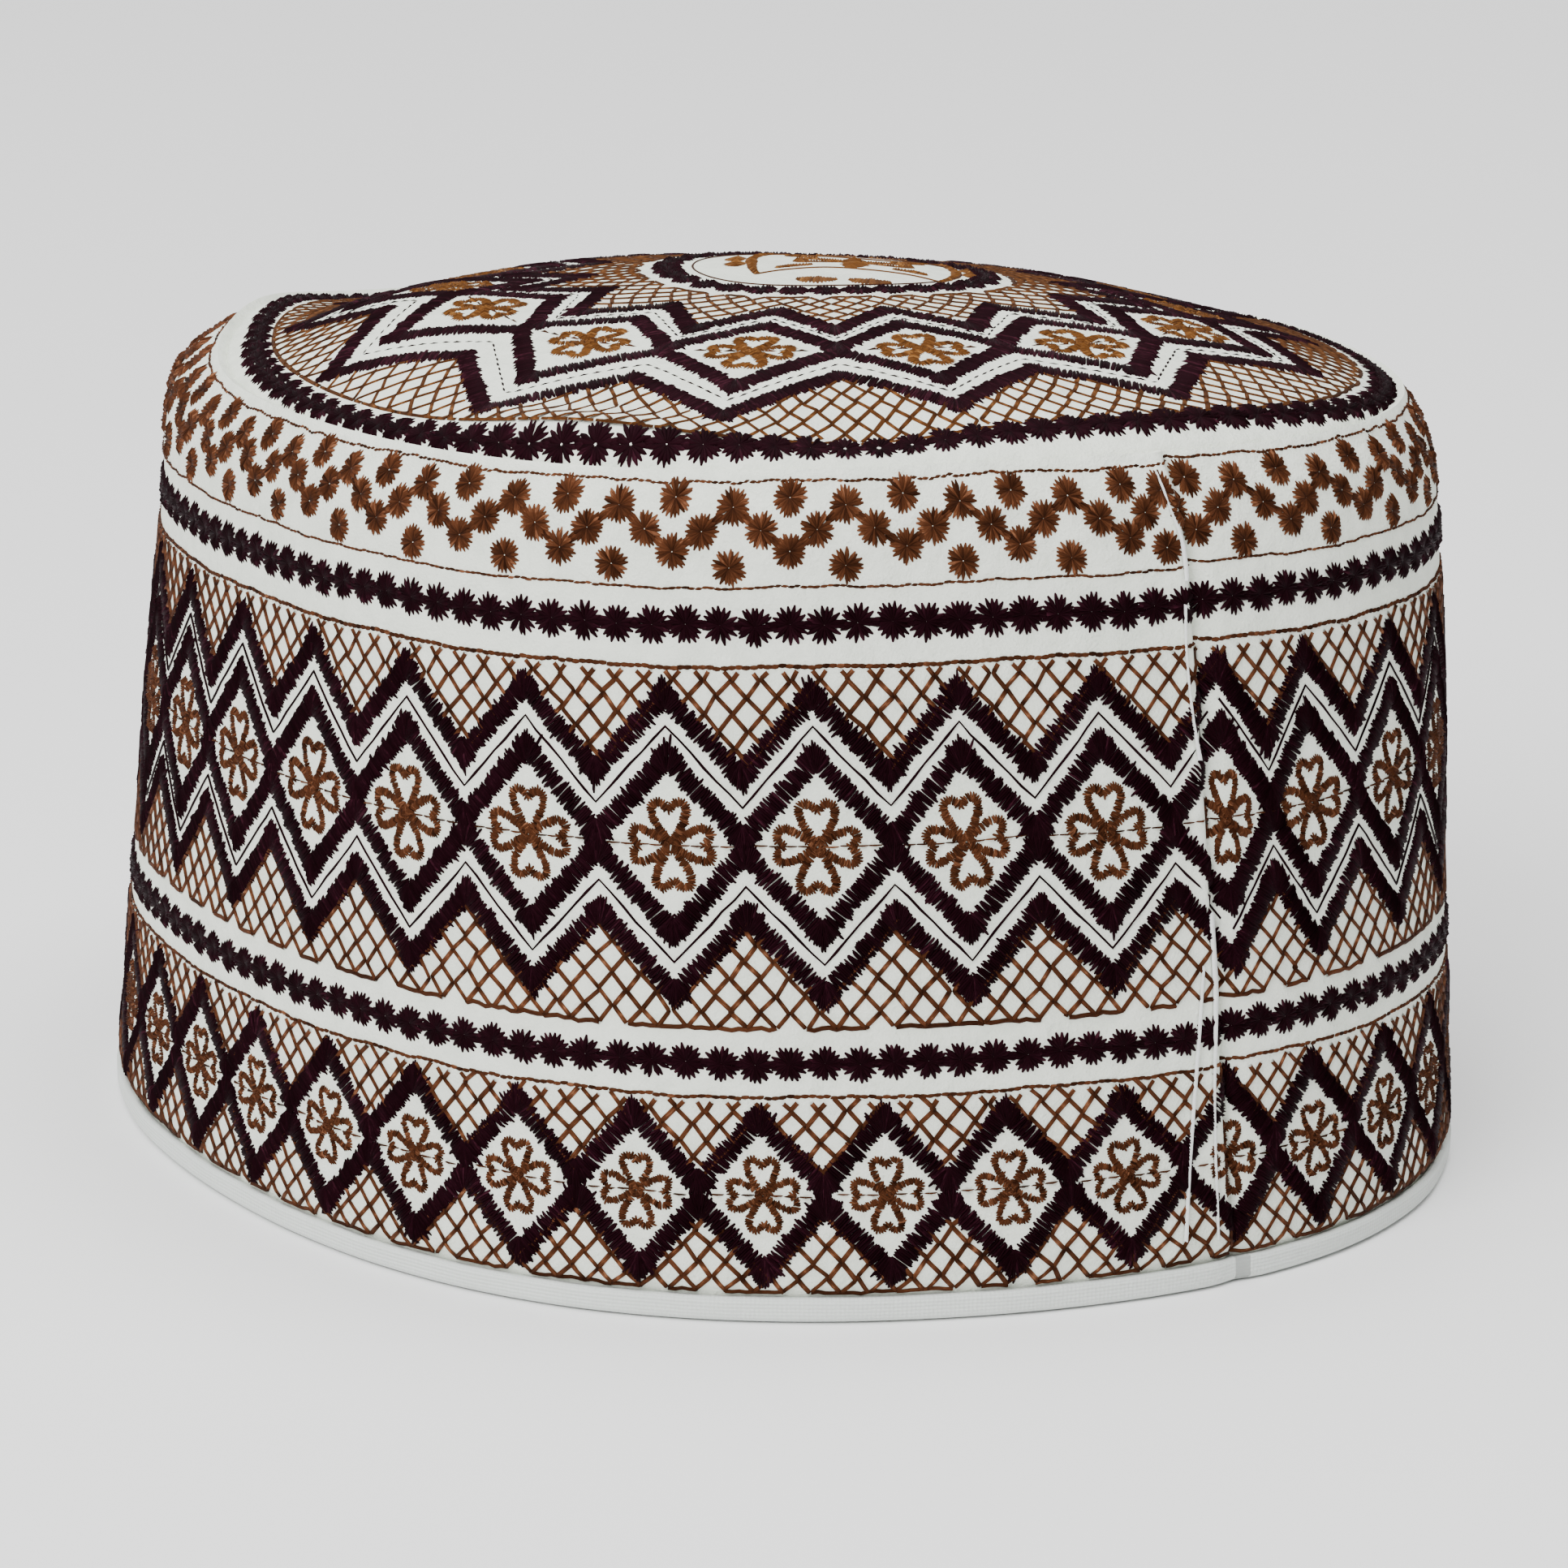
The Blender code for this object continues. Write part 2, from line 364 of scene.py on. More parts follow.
def satinThread(name, deep, bright, highlightTint, rough=0.55):
    # the last colour is the tint of the real specular and also the colour of a painted highlight blended into the base
    # colour below
    made = Finish(name, {"Specular IOR Level": 0.10, "Specular Tint": solid(highlightTint, 0.9 / max(highlightTint))})
    tint = made.number("tint")
    streak = made.noise(made.threadMap(), 1.0, 2.0, 0.6, (0.9, 7.0, 1.0))
    broad = made.noise(made.place(), 160.0, 2.0)
    # the body colour varies with each stitch's random tint and broad noise, the thread's own tone, and with the streak
    # along the thread, partly painted highlight
    share = made.ramp(tint * 0.62 + streak * 0.5 + broad * 0.28, ((0.42, 0.0), (0.98, 1.0)))
    body = made.blend(share, solid(deep), solid(bright))
    # painted highlight: where the streak runs high, the colour is blended towards the thread's highlight colour, a
    # painted glint on the satin
    light = made.ramp(streak * 0.7 + tint * 0.4, ((0.66, 0.0), (0.86, 0.75)))
    made.color(made.blend(light, body, solid(highlightTint)))
    made.put(made.shader.inputs["Roughness"], made.ramp(streak, ((0.2, rough - 0.08), (0.8, rough + 0.12))))
    made.bump(streak, 0.00006, 0.7)
    return made.material


def wovenTape(name, tone):
    made = Finish(name, {"Roughness": 0.85, "Sheen Weight": 0.15, "Specular IOR Level": 0.25})
    weave, cross = made.wave('Y', 0.62, 0.6), made.wave('X', 0.55, 0.8)
    broad = made.noise(made.place(), 90.0, 3.0)
    shade = weave * 0.3 + cross * 0.2 + broad * 0.5
    made.color(made.blend(shade, solid(tone, 0.86), solid(tone)))
    made.bump(weave * 0.6 + cross * 0.4, 0.00012, 0.8)
    return made.material


# thread colours: deep and bright tones of the thread itself, then its highlight colour, also painted into the base
# colour as a painted highlight
finishes = {
    "cloth": brushedCotton("brushedCotton", (0.79, 0.825, 0.735)),
    "dark": satinThread("darkMaroonThread", (0.0018, 0.0005, 0.0006), (0.0105, 0.0022, 0.0040), (0.052, 0.012, 0.022)),
    "brown": satinThread("brownThread", (0.014, 0.0046, 0.0024), (0.098, 0.033, 0.0145), (0.27, 0.120, 0.062)),
    "gold": satinThread("goldenBrownThread", (0.038, 0.012, 0.003), (0.155, 0.060, 0.015), (0.34, 0.17, 0.055)),
    "crownNet": satinThread("brownNetThread", (0.024, 0.0075, 0.0025), (0.105, 0.038, 0.011), (0.24, 0.105, 0.035)),
    "white": satinThread("whiteThread", (0.66, 0.68, 0.66), (0.84, 0.86, 0.84), (0.92, 0.93, 0.92), 0.6),
    "tape": wovenTape("hemTape", (0.70, 0.735, 0.70)),
}


def ringsToSheet(name, columns, rows):  # a tube of rings, with the column and row of each of its points
    bpy.ops.object.select_all(action='DESELECT')
    bpy.ops.mesh.primitive_circle_add(vertices=columns, radius=1.0, location=(0.0, 0.0, 0.0))
    piece = bpy.context.active_object
    piece.name = name
    bpy.ops.object.mode_set(mode='EDIT')
    bpy.ops.mesh.select_all(action='SELECT')
    for row in range(1, rows):
        bpy.ops.mesh.extrude_region_move(TRANSFORM_OT_translate={"value": (0.0, 0.0, 1.0)})
    bpy.ops.object.mode_set(mode='OBJECT')
    where = np.zeros(len(piece.data.vertices) * 3)
    piece.data.vertices.foreach_get("co", where)
    where = where.reshape(-1, 3)
    column = np.round(np.arctan2(where[:, 1], where[:, 0]) / (2 * math.pi) * columns).astype(int) % columns
    return piece, column, np.round(where[:, 2]).astype(int)


def settle(piece, points, thickness, edge, pole=False):
    piece.data.vertices.foreach_set("co", (points * 0.001).ravel())
    piece.data.update()
    bpy.ops.object.mode_set(mode='EDIT')
    bpy.ops.mesh.select_all(action='SELECT')
    if pole:
        bpy.ops.mesh.remove_doubles(threshold=0.00002)
    bpy.ops.mesh.normals_make_consistent(inside=False)
    bpy.ops.object.mode_set(mode='OBJECT')
    widest = max(piece.data.polygons, key=lambda f: f.center.xy.length)
    if widest.normal.xy.dot(widest.center.xy) < 0.0:
        piece.data.flip_normals()
    shell = piece.modifiers.new("Thickness", 'SOLIDIFY')
    shell.thickness, shell.offset = thickness * 0.001, -1.0
    bpy.ops.object.modifier_apply(modifier=shell.name)
    if edge:
        soft = piece.modifiers.new("Edge", 'BEVEL')
        soft.width, soft.segments, soft.limit_method, soft.angle_limit = edge * 0.001, 3, 'ANGLE', math.radians(60.0)
        bpy.ops.object.modifier_apply(modifier=soft.name)
    bpy.ops.object.shade_smooth()
    return piece


def dress(piece, finish, stands=None):
    piece.data.materials.append(finishes[finish])
    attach(piece, "root")
    if stands:
        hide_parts(stands)
    print(piece.name, sum(len(f.vertices) - 2 for f in piece.data.polygons), "triangles")
    return piece


print("cloth pieces")
seamSides = np.array(wall["seamColumns"])
evenColumns = np.linspace(6.0, girth - 6.0, wall["columns"] - 2 * len(seamSides) - 1)
wallColumns = np.concatenate([[0.0], seamSides, evenColumns, girth - seamSides[::-1]])
lowRows, topRows = [1.3, 2.4, 3.6, 4.4, 5.2], np.linspace(98.4, 108.3, 11)
wallHeights = np.concatenate([lowRows, np.linspace(7.0, 97.0, wall["rows"] - len(lowRows) - len(topRows)), topRows])
wallPiece, column, row = ringsToSheet("wallCloth", wall["columns"], wall["rows"])
spots = joined(wallColumns[column], wallHeights[row])
dress(settle(wallPiece, wallSheet.at(spots, 0.0) * 1000.0, wall["thickness"], 0.72), "cloth", "side_wall")

crownPiece, column, row = ringsToSheet("crownCloth", crown["columns"], crown["rings"])
turns = column * 2 * math.pi / crown["columns"]
slope, domeEdge, end = crownEdge(turns)
foldRings, lastRing = crown["foldRings"], crown["rings"] - 1
overDome = domeEdge * (lastRing - row) / (lastRing - foldRings)
crownRuns = np.where(row <= foldRings, end + (domeEdge - end) * np.minimum(row, foldRings) / foldRings, overDome)
dress(settle(crownPiece, crownPoint(turns, crownRuns), crown["thickness"], 0.0, True), "cloth", "crown")

# Hem tape folded round the bottom edge
hem = {"thickness": 1.0, "gap": 0.3, "outerHeight": 3.3, "innerHeight": 4.2, "bend": 1.1, "columns": 280,
       "ripple": (0.06, 29.0, 2.0, 3.0)}  # size, waves, wander, its waves
hemOut = capShape["hemRadius"] + hem["gap"] + hem["thickness"]
hemIn = capShape["hemRadius"] - wall["thickness"] - hem["gap"] - hem["thickness"]
hemTurns = np.radians(np.arange(15.0, 91.0, 15.0))
hemBends = [(hem["bend"] * (1 - math.cos(a)), hem["bend"] * (1 - math.sin(a))) for a in hemTurns]
hemSection = [(hemIn, hem["innerHeight"]), (hemIn, 2.6), (hemIn, hem["bend"])]
hemSection += [(hemIn + x, z) for x, z in hemBends] + [(hemOut - x, z) for x, z in reversed(hemBends)]
hemSection += [(hemOut, hem["bend"]), (hemOut, 1.8), (hemOut, 2.6), (hemOut, hem["outerHeight"])]
hemPiece, column, row = ringsToSheet("hemTape", hem["columns"], len(hemSection))
sections = np.array(hemSection)
turns = column * 2 * math.pi / hem["columns"]
size, waves, wander, slow = hem["ripple"]
swell = size * np.sin(turns * waves + wander * np.sin(turns * slow)) * np.minimum(sections[row, 1], 2.0)
hemPoints = capPoint(turns, sections[row, 0] + swell, sections[row, 1])
hemPiece.data.uv_layers.new(name="thread")
settle(hemPiece, hemPoints, hem["thickness"], 0.0)
tapeMap = hemPiece.data.uv_layers["thread"].data
for corner in hemPiece.data.loops:
    spot = hemPiece.data.vertices[corner.vertex_index].co
    tapeMap[corner.index].uv = (math.atan2(spot.x, -spot.y) * 93.0, spot.z * 1000.0)  # millimetres round and up
dress(hemPiece, "tape", "hem_binding")


# Stitches and strands: joined meshes built from arrays
sunk = 0.04  # how far a thread's underside reaches into the cloth
flatter = 0.62  # stitches lie lower on the crown, where they are seen from the side


def threadPiece(name, points, quads, along, tint, finish):
    mesh = bpy.data.meshes.new(name)
    mesh.vertices.add(len(points))
    mesh.vertices.foreach_set("co", points.astype(np.float32).ravel())
    mesh.loops.add(quads.size)
    mesh.loops.foreach_set("vertex_index", quads.astype(np.int32).ravel())
    mesh.polygons.add(len(quads))
    mesh.polygons.foreach_set("loop_start", np.arange(0, quads.size, 4, dtype=np.int32))
    mesh.polygons.foreach_set("use_smooth", np.ones(len(quads), bool))
    layer = mesh.uv_layers.new(name="thread")
    layer.data.foreach_set("uv", along[quads.ravel()].astype(np.float32).ravel())
    mesh.attributes.new("tint", 'FLOAT', 'POINT').data.foreach_set("value", tint.astype(np.float32))
    mesh.update(calc_edges=True)
    mesh.validate()
    piece = bpy.data.objects.new(name, mesh)
    bpy.context.scene.collection.objects.link(piece)
    return dress(piece, finish)


# Stitch shapes: lift of the edges and the middle, then stations along the thread with the width and lift there
across = np.array((-0.5, 0.0, 0.5))
roundThread = {"lifts": (0.30, 1.0, 0.30), "stations": (0.0, 0.17, 0.83, 1.0), "widths": (0.6, 1.0, 1.0, 0.6),
               "rises": (0.05, 1.0, 1.0, 0.05), "fade": 0.0}
fineThread = {"lifts": (0.25, 1.0, 0.25), "stations": (0.0, 0.5, 1.0), "widths": (0.7, 1.0, 0.7),
              "rises": (0.05, 1.0, 0.05), "fade": 0.0}
spokeThread = {"lifts": (0.35, 1.0, 0.35), "stations": (0.0, 0.66, 1.0), "widths": (0.5, 1.0, 0.35),
               "rises": (0.1, 1.0, 0.1), "fade": 0.65}  # the fade brightens a stitch towards its end


def longFaces(count, stations, flip):  # the faces between neighbouring stations of every stitch
    wide = len(across)
    base = (np.arange(count) * stations * wide)[:, None, None]
    first = base + (np.arange(stations - 1) * wide)[None, :, None] + np.arange(wide - 1)[None, None, :]
    order = (first, first + wide, first + wide + 1, first + 1)
    return np.stack(order if flip else (order[0], order[3], order[2], order[1]), -1).reshape(-1, 4)


def threads(start, end, wide, lift, tint, endWide=None):  # straight stitches from start to end
    return {"start": start, "end": end, "wide": wide, "endWide": endWide or wide, "lift": lift, "tint": tint}


def strand(path, wide, lift, tint):  # a thread along a path, the rest each a number or one value a point
    return {"path": path, "wide": wide, "lift": lift, "tint": tint}


def ownMap(run, shift):  # millimetres along and across threads, each at a place of its own
    return (joined(run[..., None], across * 0.5) + dice.uniform(0.0, 400.0, shift)).reshape(-1, 2)


def stitches(name, sheet, parts, finish, shape=fineThread):
    lifts, stations, widths, rises = (np.array(shape[key]) for key in ("lifts", "stations", "widths", "rises"))
    start = np.concatenate([p["start"] for p in parts])
    end = np.concatenate([p["end"] for p in parts])
    count = len(start)

    def gather(key, spread):
        values = [np.broadcast_to(np.asarray(p[key], float), (len(p["start"]),)) for p in parts]
        return np.concatenate(values) + jitter(spread, count)

    onCrown = sheet is crownSheet
    spreads = {"wide": 0.015, "endWide": 0.02, "lift": 0.05, "tint": 0.2}
    wideA, wideB, lift, tint = (gather(key, spread) for key, spread in spreads.items())
    if onCrown and shape is not spokeThread:
        lift = lift * flatter
    tint = np.clip(tint, 0.0, 1.0)
    run = end - start
    length = np.maximum(np.linalg.norm(run, axis=1), 1e-6)
    side = leftOf(run) / length[:, None]
    middle = start[:, None] + run[:, None] * stations[None, :, None]
    wide = (wideA[:, None] * (1 - stations) + wideB[:, None] * stations) * widths
    spots = middle[:, :, None] + side[:, None, None] * (wide[:, :, None] * across)[..., None]
    points = sheet.at(spots, lift[:, None, None] * rises[None, :, None] * lifts[None, None, :] - sunk).reshape(-1, 3)
    along = ownMap(length[:, None] * stations, (count, 1, 1, 2))
    tints = np.repeat(np.clip(tint[:, None] + shape["fade"] * (stations - 0.65), 0.0, 1.0), len(across))
    return threadPiece(name, points, longFaces(count, len(stations), onCrown), along, tints, finish)


def strands(name, sheet, parts, finish):
    made = []
    base = 0
    for part in parts:
        path = part["path"]
        count = len(path)
        wide, lift, tint = (np.broadcast_to(np.asarray(part[key], float), (count,)) for key in ("wide", "lift", "tint"))
        spots = path[:, None] + leftOf(headings(path))[:, None] * (wide[:, None] * across)[..., None]
        points = sheet.at(spots, lift[:, None] * np.array(fineThread["lifts"]) - sunk).reshape(-1, 3)
        made.append((points, longFaces(1, count, sheet is crownSheet) + base, ownMap(runAlong(path), 2),
                     np.repeat(np.clip(tint, 0.0, 1.0), len(across))))
        base += len(points)
    return threadPiece(name, *(np.concatenate(parts) for parts in zip(*made)), finish)


# Satin zigzags
satin = {"wide": 2.8, "spacing": 0.32, "thread": 0.40, "lift": 0.6, "ragged": 0.20, "fanRagged": 0.42}


def satinLine(corners, tint=0.4):
    # corners: a polyline whose first and last points only give the directions there
    half = satin["wide"] / 2
    starts, ends = [], []
    legs = np.diff(corners, axis=0)
    sizes = np.linalg.norm(legs, axis=1)
    ahead = legs / sizes[:, None]
    left = leftOf(ahead)
    for i in range(1, len(legs) - 1):
        pieces = []
        for corner, before, after, way in ((corners[i], i - 1, i, 1.0), (corners[i + 1], i, i + 1, -1.0)):
            (x0, y0), (x1, y1) = ahead[before], ahead[after]
            turn = math.atan2(x0 * y1 - y0 * x1, x0 * x1 + y0 * y1)
            middle = left[before] + left[after]
            middle /= np.linalg.norm(middle)
            convex = 1.0 if turn < 0.0 else -1.0
            mitre = half / math.cos(turn / 2)
            hub = corner - middle * mitre * convex
            count = max(2, int(abs(turn) / 2 * (mitre + half) / satin["spacing"]))
            share = (np.arange(count) + 0.5) / count
            share = share if way > 0 else share[::-1]
            aim = unit(middle[None] * convex * (1 - share[:, None]) + left[i][None] * convex * share[:, None])
            reach = satin["wide"] / np.maximum(aim @ (left[i] * convex), 0.3)
            reach = reach + np.abs(jitter(satin["fanRagged"], count))
            near = np.where(np.arange(count) % 2 == 0, 0.02, dice.uniform(0.25, 0.45, count)) * reach
            inner, outer = hub + aim * near[:, None], hub + aim * reach[:, None]
            pieces.append((inner, outer) if convex > 0 else (outer, inner))
            pieces.append(half * math.tan(abs(turn) / 2))
        (headA, headB), headCut, (tailA, tailB), tailCut = pieces
        count = max(2, int((sizes[i] - headCut - tailCut) / satin["spacing"]))
        run = headCut + (np.arange(count) + 0.5) / count * (sizes[i] - headCut - tailCut)
        run = run + jitter(0.05, count)
        lean = jitter(0.10, count)
        spot = corners[i] + ahead[i] * run[:, None]
        for points, way, head, tail in ((starts, -1.0, headA, tailA), (ends, 1.0, headB, tailB)):
            reach = half + dice.normal(0.02, satin["ragged"], count)
            points += [head, spot + way * (left[i] * reach[:, None] + ahead[i] * lean[:, None]), tail]
    start, end = np.concatenate(starts), np.concatenate(ends)
    slow = np.sin(start[:, 0] * 0.31) * 0.12 + np.sin(start[:, 1] * 0.47 + start[:, 0] * 0.11) * 0.10
    return threads(start, end, satin["thread"], satin["lift"], tint + slow)


# The wall's two bands of diamonds: heights above and below the level are at a flower, then between two
wideBand = {"level": 61.8, "outer": (19.2, 9.0), "channel": (15.2, 5.0), "inner": (11.3, 0.9), "flower": 5.9, "spur": 8.6,
            "top": 84.5, "netTop": 70.0, "netBottom": 54.0, "bottom": 38.4, "cells": 300, "cellHeight": 4.3,
            "places": (17.9, 16.1, 3.3, 30)}
lowBand = {"level": 16.7, "outer": (10.1, 1.3), "flower": 4.8, "spur": 7.2,
           "top": 29.5, "netTop": 17.5, "netBottom": 16.0, "bottom": 3.9, "cells": 316, "cellHeight": 4.1,
           "places": (15.1, 16.2, 0.6, 36)}
for band in (wideBand, lowBand):  # one squeezed flower on the seam, the rest at even steps
    firstRight, lastLeft, seamOne, count = band["places"]
    band["places"] = np.append(seamOne, np.linspace(firstRight, girth - lastLeft, count - 1))
    band["nodes"] = (band["places"] + np.append(band["places"][1:], band["places"][0] + girth)) / 2


def seamRise(u):  # the rows climb a little towards the seam
    return 0.5 * np.exp(-u / 60.0)


def zigzag(band, key, side):  # corners in order round the wall, with one more at each end
    u = joined(band["places"], band["nodes"]).ravel()
    v = band["level"] + np.tile([side * away for away in band[key]], len(band["places"]))
    v = v + np.where(u < 140.0, seamRise(u), 0.0)
    u = np.concatenate([[u[-1] - girth], u, u[:3] + girth])
    return joined(u, np.concatenate([[v[-1]], v, v[:3]]))


print("wall satin")
for side, name in ((1.0, "wideBandSatinUpper"), (-1.0, "wideBandSatinLower")):
    stitches(name, wallSheet, [satinLine(zigzag(wideBand, key, side)) for key in ("outer", "inner")], "dark", roundThread)
lowLines = [satinLine(zigzag(lowBand, "outer", side)) for side in (1.0, -1.0)]
stitches("lowBandSatin", wallSheet, lowLines, "dark", roundThread)

# The crown's pattern: the wide band's motif bent into a star of fourteen points
star = {"centre": (0.6, 4.8), "points": 14, "turn": 136.4, "ring": 50.0, "outer": (17.3, 8.1), "channel": (13.7, 4.5),
        "inner": (10.2, 0.8), "flower": 5.3, "rosettes": 21.5, "thinCircle": 18.0, "netOuter": 72.6, "netInner": 25.2,
        "stretch": (0.010, -0.019, -0.033), "drawn": ((84.0, 0.32), (-35.0, 0.42)), "widest": 74.8, "front": 5.0,
        "warp": (78.0, 24.0, -5.5)}


def starPlace(step, radius):  # step counts points of the star, radius is in millimetres from its middle
    a = math.radians(star["turn"]) + np.asarray(step) * 2 * math.pi / star["points"]
    where, wide, turn = star["warp"]
    a = a + math.radians(turn) * np.exp(-offTurn(a, where, wide))
    drawn = sum(amount * np.maximum(np.cos(a - math.radians(to)), 0.0) ** 2 for to, amount in star["drawn"])
    widest = star["widest"] + star["front"] * np.maximum(np.cos(a - math.radians(star["drawn"][1][0])), 0.0)
    radius = np.minimum(radius + np.maximum(radius - star["ring"], 0.0) * drawn, np.maximum(radius, widest))
    x, y = radius * np.sin(a), -radius * np.cos(a)
    sx, sxy, sy = star["stretch"]
    return joined(star["centre"][0] + (1 + sx) * x + sxy * y, star["centre"][1] + sxy * x + (1 + sy) * y)


def starLine(side, pair):
    steps = np.arange(-1, 2 * star["points"] + 3) / 2
    radius = star["ring"] + side * np.where(np.arange(len(steps)) % 2 == 1, pair[0], pair[1])
    return starPlace(steps, radius)


print("crown satin")
for side, name in ((1.0, "crownSatinOuter"), (-1.0, "crownSatinInner")):
    lines = [satinLine(starLine(side, star[key]), 0.55) for key in ("outer", "inner")]
    stitches(name, crownSheet, lines, "dark", roundThread)

# Flowers: four heart petals, each the same outline
petal = np.array([(0.06, 0.10), (0.16, 0.24), (0.27, 0.42), (0.355, 0.60), (0.385, 0.76), (0.34, 0.875), (0.22, 0.91),
                  (0.10, 0.86), (0.0, 0.75)])
petal = np.concatenate([petal, petal[-2::-1] * [-1, 1]])
flower = {"spacing": 0.25, "band": 0.22, "crownBand": 0.31, "thread": 0.36, "lift": 0.55, "tint": 0.52, "tall": 1.04,
          "broad": 0.97, "hub": 0.24, "hubThreads": 14, "hubTurn": 0.4, "strays": (0.08, 0.08, 0.09)}


def smoothPath(path, step):  # points at even steps on a smooth curve through the path's points
    count = len(path)
    run = runAlong(path)
    fine = np.linspace(0.0, run[-1], max(3, int(run[-1] / step)))
    k = np.clip(np.searchsorted(run, fine, side='right') - 1, 0, count - 2)
    t = ((fine - run[k]) / (run[k + 1] - run[k]))[:, None]
    a, b, c, d = path[np.maximum(k - 1, 0)], path[k], path[k + 1], path[np.minimum(k + 2, count - 1)]
    return 0.5 * (2 * b + (c - a) * t + (2 * a - 5 * b + 4 * c - d) * t ** 2 + (3 * b - a - 3 * c + d) * t ** 3)


def spun(points, angle):
    c, s = math.cos(angle), math.sin(angle)
    return points @ np.array([[c, s], [-s, c]])


def flowerStitches(place, size, turn=0.0, squeeze=1.0, band=flower["band"]):
    starts, ends = [], []
    for quarter in range(4):
        tall = size * flower["tall" if quarter % 2 == 0 else "broad"] * dice.uniform(0.98, 1.03)
        path = smoothPath(petal * [size, tall] * [dice.uniform(0.95, 1.05), 1.0], flower["spacing"])
        ahead = headings(path)
        side = leftOf(ahead)
        half = size * band / 2
        wide, off, narrow = (jitter(stray, (len(path), 1)) for stray in flower["strays"])
        starts.append(spun(path - side * (half + narrow), quarter * math.pi / 2))
        ends.append(spun(path + side * (half + wide) + ahead * off, quarter * math.pi / 2))
    hub = dice.uniform(0.0, 2 * math.pi, flower["hubThreads"])
    for points, way, late in ((starts, 1.0, 0.0), (ends, -1.0, flower["hubTurn"])):
        points.append(way * joined(np.cos(hub + late), np.sin(hub + late)) * size * flower["hub"])
    start, end = (spun(np.concatenate(points) * [squeeze, 1.0], turn) + place for points in (starts, ends))
    return threads(start, end, flower["thread"], flower["lift"], flower["tint"])


def bandFlowers(band, stray, seamSqueeze):
    return [flowerStitches((u + jitter(stray), band["level"]), band["flower"], jitter(0.03),
                           seamSqueeze if i == 0 else 1.0) for i, u in enumerate(band["places"])]


print("flowers")
stitches("wideBandFlowers", wallSheet, bandFlowers(wideBand, 0.15, 0.72), "brown")
stitches("lowBandFlowers", wallSheet, bandFlowers(lowBand, 0.12, 0.9), "brown")
starTurns = math.radians(star["turn"]) + np.arange(star["points"]) * 2 * math.pi / star["points"]
crownFlowers = [flowerStitches(starPlace(i, star["ring"]), star["flower"], turn, 1.12, flower["crownBand"])
                for i, turn in enumerate(starTurns)]
stitches("crownFlowers", crownSheet, crownFlowers, "gold")

# Rosettes: rings of short spokes
rosette = {"dark": (17, 0.72, 0.02), "brown": (21, 0.60, 0.05),  # least spokes, their outer width and the hole
           "inner": 0.5, "lift": 0.6, "linked": 3.0, "link": (0.30, 0.70), "linkOff": 0.30}


def rosetteRow(centres, radius, links=True, tint=0.4, kind="dark"):
    least, thread, opening = rosette[kind]
    starts, ends = [], []
    for i, centre in enumerate(centres):
        spokes = least + int(dice.integers(0, 4))
        a = (np.arange(spokes) + dice.uniform(0.0, 1.0)) * 2 * math.pi / spokes + jitter(0.05, spokes)
        aim = joined(np.cos(a), np.sin(a))
        reach = radius * dice.uniform(0.90, 1.06, spokes)
        starts.append(centre + aim * opening * dice.uniform(0.6, 1.6))
        ends.append(centre + aim * reach[:, None])
        away = centres[min(i + 1, len(centres) - 1)] - centre
        size = np.linalg.norm(away)
        if links and 0.0 < size < radius * rosette["linked"]:
            side = np.array([-away[1], away[0]]) / size * np.array([[-1.0], [0.0], [1.0]]) * rosette["linkOff"]
            for points, share in zip((starts, ends), rosette["link"]):
                points.append(centre + away * share + side)
    return threads(np.concatenate(starts), np.concatenate(ends), rosette["inner"], rosette["lift"], tint, thread)


def wallRow(level, count):
    u = np.linspace(0.0, girth, count, endpoint=False) + 2.1
    return joined(u + jitter(0.1, count), level + seamRise(u) + jitter(0.12, count))


print("rosettes")
for name, level, count, radius in (("wallRosettesUpper", 89.8, 126, 2.55), ("wallRosettesLower", 33.9, 130, 2.4)):
    stitches(name, wallSheet, [rosetteRow(wallRow(level, count), radius)], "dark", spokeThread)

crownRing = {"radius": 77.6, "waves": ((1, -2.7, -3.2), (2, -4.2, -0.3)), "least": 75.0, "most": 79.5,
             "swells": ((125.0, 17.0, 0.8), (15.0, 45.0, 3.2), (90.0, 12.0, 0.4)), "count": 108, "inner": 31}
a = np.linspace(0.0, 2 * math.pi, crownRing["count"], endpoint=False)
ringRadius = crownRing["radius"] + sum(c * np.cos(n * a) + s * np.sin(n * a) for n, c, s in crownRing["waves"])
ringRadius = np.clip(ringRadius, crownRing["least"], crownRing["most"])
for where, wide, out in crownRing["swells"]:
    ringRadius = ringRadius + out * np.exp(-offTurn(a, where, wide))
ringRadius = np.minimum(ringRadius, crownRing["most"])
edgeRow = joined(ringRadius * np.sin(a), -ringRadius * np.cos(a))
innerRow = starPlace(np.arange(crownRing["inner"]) * star["points"] / crownRing["inner"], star["rosettes"])
crownRows = [rosetteRow(edgeRow, 2.55), rosetteRow(innerRow, 2.3, True, 0.5)]
stitches("crownRosettes", crownSheet, crownRows, "dark", spokeThread)

brownRow = {"first": 2.2, "last": 9.6, "count": 37, "hanging": 105.1, "peak": 104.1, "middle": 101.4, "valley": 98.8,
            "standing": 97.0, "radius": 2.35, "tint": 0.52}
valleys = np.linspace(brownRow["first"], girth - brownRow["last"], brownRow["count"])
nextOnes = np.append(valleys[1:], valleys[0] + girth)
chain, loose = [], []
for here, beyond in zip(valleys, nextOnes):
    gap = beyond - here
    for share, level in ((0.0, "valley"), (0.25, "middle"), (0.5, "peak"), (0.75, "middle")):
        chain.append((here + gap * share + jitter(0.12), brownRow[level] + jitter(0.15)))
    loose.append((here + jitter(0.15), brownRow["hanging"] + jitter(0.12)))
    loose.append((here + gap * 0.47 + jitter(0.15), brownRow["standing"] + jitter(0.12)))
stitches("wallRosettesBrown", wallSheet, [rosetteRow(np.array(row), brownRow["radius"], links, brownRow["tint"], "brown")
                                          for row, links in ((chain, True), (loose, False))], "brown", spokeThread)

